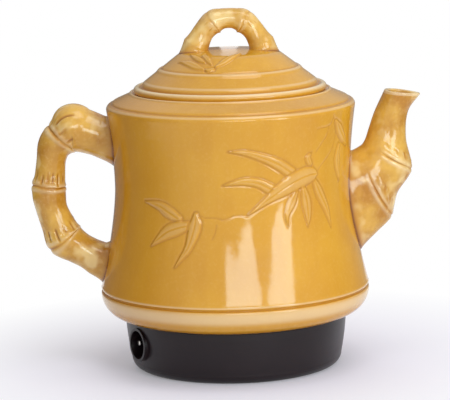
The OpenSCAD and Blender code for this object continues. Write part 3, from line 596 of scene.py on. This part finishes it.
make_piece("handle_cane", points, quads, cane_glaze, "pot", ["handle"],
           handle_pool, fans)


# ---- Spout ----
# A thick cane that rises from the wall in front of a strainer, is bent at two nodes and turns up
# into a neck with a pinched lip. It is hollow all through, with glaze on both faces.
spout_reach, spout_wall = 55.5, 4.5
spout_root_w, spout_neck_w = 19.0, 12.5
spout_top = seat_z - 3.0
# Shares of the reach and of the height for the inner and the outer edge, and of the root's width
spout_stations = [
    (0.10, 0.640, 0.37, 0.105, 0.98), (0.17, 0.660, 0.57, 0.200, 0.90),
    (0.205, 0.680, 0.665, 0.350, 0.72), (0.235, 0.710, 0.865, 0.500, 0.58),
    (0.28, 0.770, 0.795, 0.700, 0.12), (0.36, 0.870, 0.830, 0.865, 0.00),
    (0.50, 1.000, 1.000, 0.972, 0.08)]
spout_nodes = [(1.05, 0.4), (3, 0.12)]       # station, and how far each leans back on the inside
samples = 300
stations = smooth_path(spout_stations, samples)
steps = np.linspace(0, len(spout_stations) - 1, samples)
inner_edge, outer_edge = (
    np.stack([waist_r + stations[:, k] * spout_reach,
              spout_foot + stations[:, k + 1] * (spout_top - spout_foot)], 1) for k in (0, 2))
half_width = spout_neck_w + stations[:, 4] * (spout_root_w - spout_neck_w)
middle, half = (inner_edge + outer_edge) / 2, (outer_edge - inner_edge) / 2
half_length = np.linalg.norm(half, axis=1)
lip = 0.3 * (np.clip(steps - steps[-1] + 1.2, 0, None) / 1.2) ** 2


def spout_rings(rows, out, extra):
    """Rings of the spout's outer face or channel: rows of the stations, each grown by extra."""
    m, h, w = middle[rows], half[rows], half_width[rows]
    share = 1 + extra / half_length[rows, None]
    return np.stack([m[:, :1] + h[:, :1] * share * np.cos(out),
                     (w[:, None] + extra) * np.sin(out) * (1 - lip[rows, None] * np.cos(out)),
                     m[:, 1:] + h[:, 1:] * share * np.cos(out)], -1)


every = np.arange(samples)
outer_along = arc_lengths(outer_edge)
inner_along = arc_lengths(inner_edge)
share_out = 0.5 + 0.5 * np.cos(turns)
along = outer_along[:, None] * share_out + inner_along[:, None] * (1 - share_out)
relief, spout_pool = np.zeros((samples, cane_sides)), np.zeros((samples, cane_sides))
gouge_angles = [(-87, -69, -52, -36, 5, 34, 62, 95), (-137, -97, -72, -46, -8, 40, 75, 110)]
for (n, slant), angles in zip(spout_nodes, gouge_angles):
    leaning = n - slant * (1 - np.cos(turns))
    at = [np.interp(leaning, steps, a) for a in (outer_along, inner_along)]
    gap = along - (at[0] * share_out + at[1] * (1 - share_out))
    gouges = [(7.0 + (k % 2), angle, 7.0, 0.95, 1.1) for k, angle in enumerate(angles)]
    h, p = cane_relief(gap, turns[None], half_width[:, None], [0], gouges)
    fade = np.clip(share_out * 3.2 - 0.85, 0, 1)
    relief += h * fade
    spout_pool += p * fade
outside = spout_rings(every, turns, relief)
channel = spout_rings(every[::-6], turns, np.full((1, cane_sides), -spout_wall))
lip_ring = spout_rings(every[-1:], turns, np.full((1, cane_sides), -1.3))
lip_rise = np.array([half[-1, 1], 0, -half[-1, 0]]) / half_length[-1]
mouth = np.concatenate([outside[-1:] * 0.75 + lip_ring * 0.25 - 0.7 * lip_rise,
                        lip_ring - 0.8 * lip_rise])
root, inner_root = (
    on_wall(1, (spout_root_w - cut) * np.sin(turns),
            spout_root_z - (spout_root_h / 2 - cut) * np.cos(turns)) for cut in (0, spout_wall))
rings = np.concatenate([root_rings(root, outside[0], 0.05), outside, mouth, channel,
                        inner_root[None]])
spout_pool = np.vstack([root_pool, spout_pool, np.full((len(mouth), cane_sides), -0.5),
                        np.zeros((len(channel) + 1, cane_sides))])
spout_pool[root_count + samples - 5:root_count + samples] -= 0.5
make_piece("spout_cane", rings.reshape(-1, 3), grid_faces(len(rings), cane_sides, closed=True),
           cane_glaze, "pot", ["spout"], spout_pool)


# ---- Lid ----
# A turned dome with a rolled rim that sits in the collar, and a flange below that keeps it centred.
# A ring is turned into the cone, and four bamboo leaves and their knot lie in front of the loop.
lid_r, lid_roll, lid_h, crown_r = 74.8, 2.9, 32.6, 41.0
lid_wall, lid_groove, lid_ring_r, flange_h, flange_gap = 5.5, 3.5, 54.5, 10.0, 1.5
cone_r, cone_z = lid_r - lid_roll - lid_groove - 0.9, 7.7
crown_turn, crown_tilt, cone_tilt = 14.0, math.radians(6), math.radians(36.3)
crown_in_r = crown_r - crown_turn * (math.sin(cone_tilt) - math.sin(crown_tilt))
crown_ball = crown_in_r / math.sin(crown_tilt)
crown_in_z = lid_h - crown_ball * (1 - math.cos(crown_tilt))
crown_out_z = crown_in_z - crown_turn * (math.cos(crown_tilt) - math.cos(cone_tilt))


def dome(r):
    """Height of the lid's outer face above its seat, at distances r from the axis."""
    r = np.asarray(r, float)
    ball = lid_h - crown_ball + np.sqrt(crown_ball ** 2 - np.minimum(r, crown_in_r) ** 2)
    x = np.clip(r, crown_in_r, crown_r) - crown_in_r + crown_turn * math.sin(crown_tilt)
    bend = crown_in_z - crown_turn * math.cos(crown_tilt) + np.sqrt(crown_turn ** 2 - x ** 2)
    cone = crown_out_z - (r - crown_r) * (crown_out_z - cone_z) / (cone_r - crown_r)
    return np.where(r < crown_in_r, ball, np.where(r < crown_r, bend, cone))


# Places seen from above, in millimetres from the lid's middle, and half widths
lid_sprays = [
    [(-13.5, -43, 0.8), (-16.5, -37, 2.5), (-19, -31, 2.2), (-18, -24, 0.2)],
    [(-11, -46.5, 0.6), (-4, -42.5, 2.6), (3, -37, 2.4), (9.5, -30.5, 0.2)],
    [(-18.5, -46.2, 0.6), (-25, -40, 2.6), (-31, -32.5, 2.5), (-39, -22.5, 0.2)],
    [(-18.3, -40, 0.6), (-22.5, -34.5, 2.1), (-26.3, -28.5, 1.9), (-30, -21.5, 0.2)],
    [(-12.5, -47.6, 1.5), (-15.5, -47.4, 1.7), (-17.5, -46.4, 1.2)],
]
flange_r, roll_r, roll_z = mouth_r - flange_gap, lid_r - lid_roll, 0.83 * lid_roll
hollow_r, lift = flange_r - lid_wall, lid_wall / math.cos(cone_tilt)
lid_top = [(r, dome(r), 0) for r in np.arange(1.0, lid_ring_r - 2.4, 0.55)]
lid_top += [(lid_ring_r + r, dome(lid_ring_r + r) + z, fillet) for r, z, fillet in (
    (-1.6, -0.5, 0.8), (-0.7, 0.7, 0.7), (0.8, 0.9, 0.8), (2.6, 0, 0.8))]
lid_top += [(cone_r - 0.6, dome(cone_r - 0.6), 0.6), (cone_r + 0.4, cone_z - 1.0, 0.5),
            (cone_r + 1.3, roll_z + 0.74 * lid_roll, 0.7),
            (cone_r + 2.4, roll_z + 0.72 * lid_roll, 0.5)]
roll = [(roll_r + lid_roll * math.cos(a), roll_z + lid_roll * math.sin(a), 0)
        for a in np.radians(np.arange(105, -57, -9.0))]
flange = [(flange_r, 0, 0.6), (flange_r, -flange_h, 1.0), (hollow_r, -flange_h, 1.0),
          (hollow_r, dome(hollow_r) - lift, 3), (crown_r - 2, dome(crown_r - 2) - lift, 3),
          (crown_in_r / 2, dome(crown_in_r / 2) - lid_wall, 3), (1.0, lid_h - lid_wall, 0)]
top_rows, roll_rows = outline(lid_top, 0.8), outline(roll, 1.2)
rows = np.vstack([top_rows, roll_rows, outline([tuple(roll_rows[-1]) + (0,)] + flange, 4.0)[1:]])
round_lid = turned_columns(-70, (45, 0.7), (290, 4))
x, y = rows[:, :1] * np.sin(round_lid), -rows[:, :1] * np.cos(round_lid)
relief, lid_pool = np.zeros(x.shape), np.zeros(x.shape)
outside_rows = np.arange(len(rows))[:, None] < len(top_rows)
for spray in lid_sprays:
    h, p = leaf_relief(x, y, spray, 1.25, 0.6)
    cover = np.clip(h, 0, 1) * outside_rows
    rise = np.where(h > 0, np.maximum(h - relief, 0), h) * outside_rows
    relief = np.maximum(relief * (1 - 0.3 * cover), 0) + rise
    lid_pool = lid_pool * (1 - cover) + 0.8 * p * outside_rows
outer = np.arange(len(rows)) < len(top_rows) + 0.6 * len(roll_rows)
for r, width, amount in ((lid_ring_r - 1.5, 0.9, 0.6), (lid_ring_r + 0.2, 1.0, -0.4),
                         (cone_r + 1.6, 1.0, 0.85), (cone_r - 1.2, 0.9, -0.35),
                         (lid_r - 2.5, 2.2, -0.85)):
    lid_pool += (amount * np.exp(-((rows[:, 0] - r) / width) ** 4) * outer)[:, None]
# The relief rises square to the dome, and there is none beyond it
slope = np.arctan(np.gradient(rows[:, 1]) / (np.gradient(rows[:, 0]) + 1e-9))[:, None]
relief *= rows[:, :1] < cone_r
points = turned_points(rows[:, :1] - relief * np.sin(slope), round_lid,
                       rows[:, 1:] + relief * np.cos(slope) + seat_z)
last, n = len(points), len(round_lid)
points = np.vstack([points, [[0, 0, seat_z + lid_h], [0, 0, seat_z + lid_h - lid_wall]]])
fans = [fan[:, [0, 2, 1]] for fan in end_fans(last, n, np.arange(n))]
make_piece("lid_glazed", points, grid_faces(len(rows), n)[:, ::-1], body_glaze, "lid",
           ["lid", "lid_leaves"], lid_pool, fans)


# ---- Loop of the lid ----
# A short cane bent over the crown, with a node near each corner, luted to the lid by two feet.
loop_span, loop_h, loop_r = 27.0, 23.6, 8.0
# One half, from the foot: share of the span, share of the height, share of the cane's thickness
loop_half = [(0.93, 0.18, 1.30), (0.84, 0.36, 1.12), (0.715, 0.59, 1.03), (0.54, 0.82, 1.06),
             (0.38, 0.94, 1.09), (0.18, 0.99, 0.98)]
loop_stations = ([(-s, h, t) for s, h, t in loop_half] + [(0, 1, 0.97)]
                 + [(s, h, t) for s, h, t in loop_half[::-1]])
loop_nodes = [3.6, 8.4]
loop_corner = 1.7                      # how much thicker the cane is inside its bends
loop_foot = dome(loop_span)
samples = 240
centre = smooth_path(loop_stations, samples)
path = np.stack([centre[:, 0] * loop_span,
                 seat_z + loop_foot + centre[:, 1] * (lid_h + loop_h - loop_foot)], 1)
along = arc_lengths(path)
steps = np.linspace(0, len(loop_stations) - 1, samples)
node_places = [np.interp(n, steps, along) for n in loop_nodes]
gouges = [(at + side * 5.0, angle + 12 * side, 4.5, 0.7, 0.7)
          for at, side in zip(node_places, (-1, 1)) for angle in (40, 90, 140, 225, 262, 300)]
thick = centre[:, 2] * loop_r
relief, loop_pool = cane_relief(along[:, None], turns[None], thick[:, None], node_places, gouges)
corner = np.exp(-((np.abs(steps - len(loop_half)) - 2.3) / 1.1) ** 2)[:, None]
radius = thick[:, None] + 0.3 * relief + loop_corner * corner * np.clip(-np.cos(turns), 0, 1)
loop_pool = 0.55 * loop_pool
rings = cane_rings(path, -radius * np.cos(turns), radius * np.sin(turns))


def loop_foot_ring(side):
    """Outline of one foot on the lid, sunk a little into it."""
    x = side * (loop_span + 1.46 * loop_r * np.cos(turns))
    y = 1.3 * loop_r * np.sin(turns)
    return np.stack([x, y, seat_z + dome(np.hypot(x, y)) - 0.6], -1)


rings = np.concatenate([root_rings(loop_foot_ring(-1), rings[0], 0.08), rings,
                        root_rings(loop_foot_ring(1), rings[-1], 0.08)[::-1]])
loop_pool = np.vstack([root_pool, loop_pool, root_pool[::-1]])
points, quads, fans = capped(rings)
make_piece("loop_cane", points, quads, cane_glaze, "lid", ["lid_loop"],
           loop_pool, fans)


# ---- Base, its cover and its seal ----
# The base is injection moulded in a dark brown, almost black plastic with a fine satin grain. Its
# cover is a pressed disc of the same kind, and a ring of silicone lies between it and the pot.
def moulded(name, colour, dust, roughness, grain, ior=1.49):
    """Moulded plastic or rubber: fine grain, faint cloudiness, and a little dust on it."""
    material, tree, place = new_material(name, IOR=ior)
    cloud = noise(tree, place, 30.0, 5.0)
    tone = tinted(tree, colour, dust, cloud, 0.45, 0.75, 0.35)
    worn = scaled(tree, cloud, 0.3, 0.7, roughness - 0.05, roughness + 0.07)
    return finish(material, tone, worn, noise(tree, place, grain, 2.0), 0.15, 0.0002)


def dress(node, material):
    """Gives a CAD node its finish."""
    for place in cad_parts[node].material_slots:
        place.material = material


dress("base_housing", moulded(
    "satin dark base", (0.009, 0.004, 0.005, 1), (0.020, 0.011, 0.013, 1), 0.34, 1800.0, ior=1.40))
dress("bottom_cover", moulded(
    "matt black cover", (0.02, 0.02, 0.02, 1), (0.05, 0.048, 0.045, 1), 0.55, 1500.0))
dress("seal_ring", moulded(
    "black silicone seal", (0.012, 0.012, 0.012, 1), (0.03, 0.03, 0.03, 1), 0.62, 900.0))


# ---- Inlet: its pins and its block ----
# Two turned brass pins with bright nickel on them stand in the recess of the base. They are held
# from behind by a block of cream ceramic, which keeps the live parts apart.
def metal(name, colour, dull, roughness, grain=(900.0, 900.0, 60.0)):
    """Metal with the marks of its drawing or pressing, and a dull bloom in places."""
    material, tree, place = new_material(name, Metallic=1.0)
    marks = noise(tree, stretched(tree, place, grain), 1.0, 2.0)
    tone = tinted(tree, colour, dull, noise(tree, place, 90.0, 4.0), 0.4, 0.7, 0.7)
    worn = scaled(tree, marks, 0.3, 0.7, roughness, roughness + 0.16)
    return finish(material, tone, worn, marks, 0.3, 0.00004)


def fired_clay(name, colour, shade, roughness, grain, depth):
    """Unglazed ceramic, cement or wool: matt, uneven in tone, and rough to the touch."""
    material, tree, place = new_material(name, IOR=1.5)
    lumps = noise(tree, place, grain, 3.0)
    tint = calc(tree, "MULTIPLY", noise(tree, place, 60.0, 5.0), lumps)
    tone = tinted(tree, colour, shade, tint, 0.14, 0.38, 0.8)
    return finish(material, tone, roughness, lumps, 0.5, depth)


nickel = metal("bright nickel on brass", (0.78, 0.76, 0.71, 1), (0.60, 0.57, 0.50, 1), 0.14)
cream_ceramic = fired_clay("cream ceramic", (0.62, 0.55, 0.44, 1), (0.50, 0.43, 0.33, 1), 0.55,
                           1400.0, 0.00006)
dress("inlet_pins", nickel)
dress("inlet_block", cream_ceramic)


# ---- Heater, its pad and its shield ----
# A coil of resistance wire lies in a grooved plate of grey refractory cement, on a pad of mineral
# wool. A pressed steel shield holds both up against the pot, by three lugs with a screw in each.
dress("heater_plate", fired_clay(
    "refractory cement", (0.40, 0.38, 0.35, 1), (0.27, 0.25, 0.23, 1), 0.85, 700.0, 0.0003))
dress("heater_coil", metal(
    "oxidised resistance wire", (0.20, 0.16, 0.14, 1), (0.09, 0.07, 0.07, 1), 0.42))
dress("heater_terminals", nickel)
dress("insulation_pad", fired_clay(
    "mineral wool", (0.72, 0.68, 0.60, 1), (0.55, 0.50, 0.42, 1), 0.95, 420.0, 0.0009))
dress("heat_shield", metal(
    "plain steel sheet", (0.56, 0.56, 0.57, 1), (0.40, 0.39, 0.40, 1), 0.30, (60.0, 1100.0, 60.0)))


# ---- Thermostat and fuse ----
# A bimetal thermostat in a moulded cream body is screwed up under the shield, and a thermal fuse in
# a ceramic tube lies beside it, so that a pot that boils dry switches itself off.
dress("thermostat", moulded(
    "cream phenolic", (0.50, 0.42, 0.31, 1), (0.40, 0.33, 0.24, 1), 0.38, 1300.0))
dress("thermal_fuse", cream_ceramic)


# ---- Wires ----
# Four short leads of stranded copper with a silicone sleeve, brown on the live side and blue on the
# neutral, from the inlet to the thermostat, the fuse and the heater's terminals.
brown_sleeve = moulded("brown silicone sleeve", (0.155, 0.060, 0.028, 1), (0.22, 0.10, 0.055, 1),
                       0.45, 1600.0)
for lead in ("live_wire", "link_wire", "heater_wire"):
    dress(lead, brown_sleeve)
dress("neutral_wire", moulded(
    "blue silicone sleeve", (0.030, 0.085, 0.33, 1), (0.06, 0.13, 0.40, 1), 0.45, 1600.0))


# ---- Screws ----
# Zinc-plated steel screws, with the bloom that the plating gets near heat, hold the cover, the
# shield and the thermostat.
zinc = metal("zinc plate with a yellow cast", (0.62, 0.60, 0.52, 1), (0.46, 0.43, 0.36, 1), 0.26)
for screws in ("cover_screws", "shield_screws", "thermostat_screws"):
    dress(screws, zinc)


# ---- Floor, light and camera ----
def seen(tree):
    """1 for rays of what is seen straight, mirrored or through glass, and 0 for diffuse light."""
    ray = add(tree, "ShaderNodeLightPath").outputs
    mirrored = calc(tree, "MAXIMUM", ray["Is Camera Ray"], ray["Is Glossy Ray"])
    return calc(tree, "MAXIMUM", mirrored, ray["Is Transmission Ray"])


half_floor = 7.0
near_white = 0.20                     # how far the floor is lifted to white beside the pot
floor_corners = [(-1, -1), (1, -1), (1, 1), (-1, 1)]
mesh = bpy.data.meshes.new("floor")
mesh.from_pydata([(x * half_floor, y * half_floor, 0) for x, y in floor_corners], [],
                 [(0, 1, 2, 3)])
material, tree, place = new_material("pale floor", Roughness=0.7, Base_Color=(0.86, 0.85, 1.0, 1))
matt = tree.nodes["Principled BSDF"].outputs[0]
away = add(tree, "ShaderNodeVectorMath", {0: place}, operation="LENGTH").outputs["Value"]
whitened = calc(tree, "MULTIPLY", scaled(tree, away, 0.10, 0.30, near_white, 1.0), seen(tree))
white = add(tree, "ShaderNodeEmission", {"Color": (1, 1, 1, 1), "Strength": 1.0})
both = add(tree, "ShaderNodeMixShader", {0: whitened, 1: matt, 2: white.outputs[0]})
tree.links.new(both.outputs[0], tree.nodes["Material Output"].inputs["Surface"])
mesh.materials.append(material)
new_object("floor", mesh)


def lamp(name, place, size, watts, mirrored):
    """A rectangular soft box at a place, turned to the pot, which mirrors it or not."""
    light = bpy.data.lights.new(name, "AREA")
    light.shape = "RECTANGLE"
    light.size, light.size_y = size
    light.energy = watts
    box = new_object(name, light)
    box.location = place
    box.rotation_euler = (middle_of_pot - Vector(place)).to_track_quat("-Z", "Y").to_euler()
    box.visible_glossy = mirrored


middle_of_pot = Vector((0.0, 0.0, 0.13))
lamp("window on the right", (1.05, -1.75, 0.62), (0.75, 0.55), 17, False)
lamp("soft box above", (0.5, -0.6, 1.9), (1.3, 1.3), 13, True)
lamp("soft fill behind", (-0.3, 1.9, 1.0), (1.4, 1.0), 9, False)


def glowing(name, colour, strength, faded=False):
    """A material that only glows, and thins out by a mesh's own cover where it is faded."""
    material = bpy.data.materials.new(name)
    material.use_nodes = True
    tree = material.node_tree
    tree.nodes.clear()
    look = add(tree, "ShaderNodeEmission", {"Color": colour, "Strength": strength})
    if faded:
        cover = add(tree, "ShaderNodeAttribute", attribute_name="cover").outputs["Fac"]
        clear = add(tree, "ShaderNodeBsdfTransparent")
        look = add(tree, "ShaderNodeMixShader", {0: cover, 1: clear.outputs[0], 2: look.outputs[0]})
    add(tree, "ShaderNodeOutputMaterial", {"Surface": look.outputs[0]})
    return material


def mirror_card(name, points, faces, material):
    """A card that shows only where the pot mirrors it, and the card's mesh."""
    mesh = bpy.data.meshes.new(name)
    mesh.from_pydata(points, [], faces)
    mesh.materials.append(material)
    card = new_object(name, mesh)
    card.visible_camera = card.visible_diffuse = card.visible_shadow = False
    return mesh


# What the glaze mirrors of that window: two panes behind a ragged edge of plants. Each place is
# degrees round from the front towards the spout, and degrees above the level, seen from the wall.
pane_top, pane_away, pane_from = 22.0, 1.5, Vector((0.02, -0.09, 0.06))
panes = [
    [(-9.2, 15.7), (-8.9, 12.1), (-7.7, 9.4), (-4.1, 10.7), (0.2, 11.5), (6.2, 8.5), (12.2, 4.9),
     (15.8, 5.8), (18.4, 10.2), (20.9, 13.2), (22.8, 14.6)],
    [(27.8, 14.8), (28.1, 14.2), (33.3, 11.5), (37.6, 6.1), (41.6, 2.2), (45.1, 0.2), (48.7, -1.6),
     (52.4, -0.2), (54.2, 4.0), (56.9, 4.6), (55.4, 8.5), (52.6, 12.6)],
]
daylight = glowing("daylight in the window", (0.80, 0.97, 1.0, 1), 7.0)
for number, pane in enumerate(panes, 1):
    corners = np.radians(pane + [(pane[-1][0], pane_top), (pane[0][0], pane_top)])
    points = [pane_from + pane_away * Vector((
        math.sin(a) * math.cos(e), -math.cos(a) * math.cos(e), math.sin(e))) for a, e in corners]
    mirror_card(f"window_pane_{number}", points, [tuple(range(len(points)))], daylight)

# Grey boards stand at both sides, where the glaze and the base mirror them and nothing else does.
# They thin out towards the front and the top, so that no edge of theirs shows in the glaze.
board_away, board_heights, board_columns, thin_columns = 0.62, (0.0, 0.28, 0.75), 32, 9
for number, (start, end, grey) in enumerate(((-36, -179, 0.22), (60, 179, 0.40)), 1):
    turned = np.radians(np.linspace(start, end, board_columns))
    edge = np.stack([board_away * np.sin(turned), -board_away * np.cos(turned), 0 * turned], 1)
    quads = grid_faces(len(board_heights), board_columns).reshape(-1, board_columns, 4)[:, :-1]
    board = glowing(f"grey board {number}", (1.0, 0.97, 0.93, 1), grey, faded=True)
    points = np.vstack([edge + [0, 0, h] for h in board_heights]).tolist()
    mesh = mirror_card(f"side_board_{number}", points, quads.reshape(-1, 4).tolist(), board)
    solid = np.clip(np.arange(board_columns) / thin_columns, 0, 1)
    mesh.attributes.new("cover", "FLOAT", "POINT").data.foreach_set(
        "value", np.concatenate([solid, solid, 0 * solid]))

world = bpy.data.worlds.new("studio")
bpy.context.scene.world = world
world.use_nodes = True
tree = world.node_tree
sky = tree.nodes["Background"]
sky.inputs["Color"].default_value = (1, 1, 1, 1)
tree.links.new(scaled(tree, seen(tree), 0.0, 1.0, 0.47, 1.0), sky.inputs["Strength"])

# The camera looks straight at the front, from 2 m away and a little above, tipped 1.5 degrees
camera_distance, camera_rise, camera_roll = 2.028, math.radians(9.4), math.radians(1.5)
focal_px, frame_px = 2600.0, (450, 400)
axis_px = (233, 200)                  # where the point that the camera aims at lies in the frame
aim = Vector((0, 0, 0.1289))
lens = bpy.data.cameras.new("camera")
lens.sensor_width = 36.0
lens.lens = focal_px / frame_px[0] * lens.sensor_width
lens.shift_x = (frame_px[0] / 2 - axis_px[0]) / frame_px[0]
lens.shift_y = (axis_px[1] - frame_px[1] / 2) / frame_px[0]
camera = new_object("camera", lens)
back = Vector((0, -math.cos(camera_rise), math.sin(camera_rise)))
camera.matrix_world = (Matrix.Translation(aim + back * camera_distance)
                       @ (-back).to_track_quat("-Z", "Y").to_matrix().to_4x4()
                       @ Matrix.Rotation(-camera_roll, 4, "Z"))
bpy.context.scene.camera = camera
bpy.context.scene.view_settings.view_transform = "Standard"
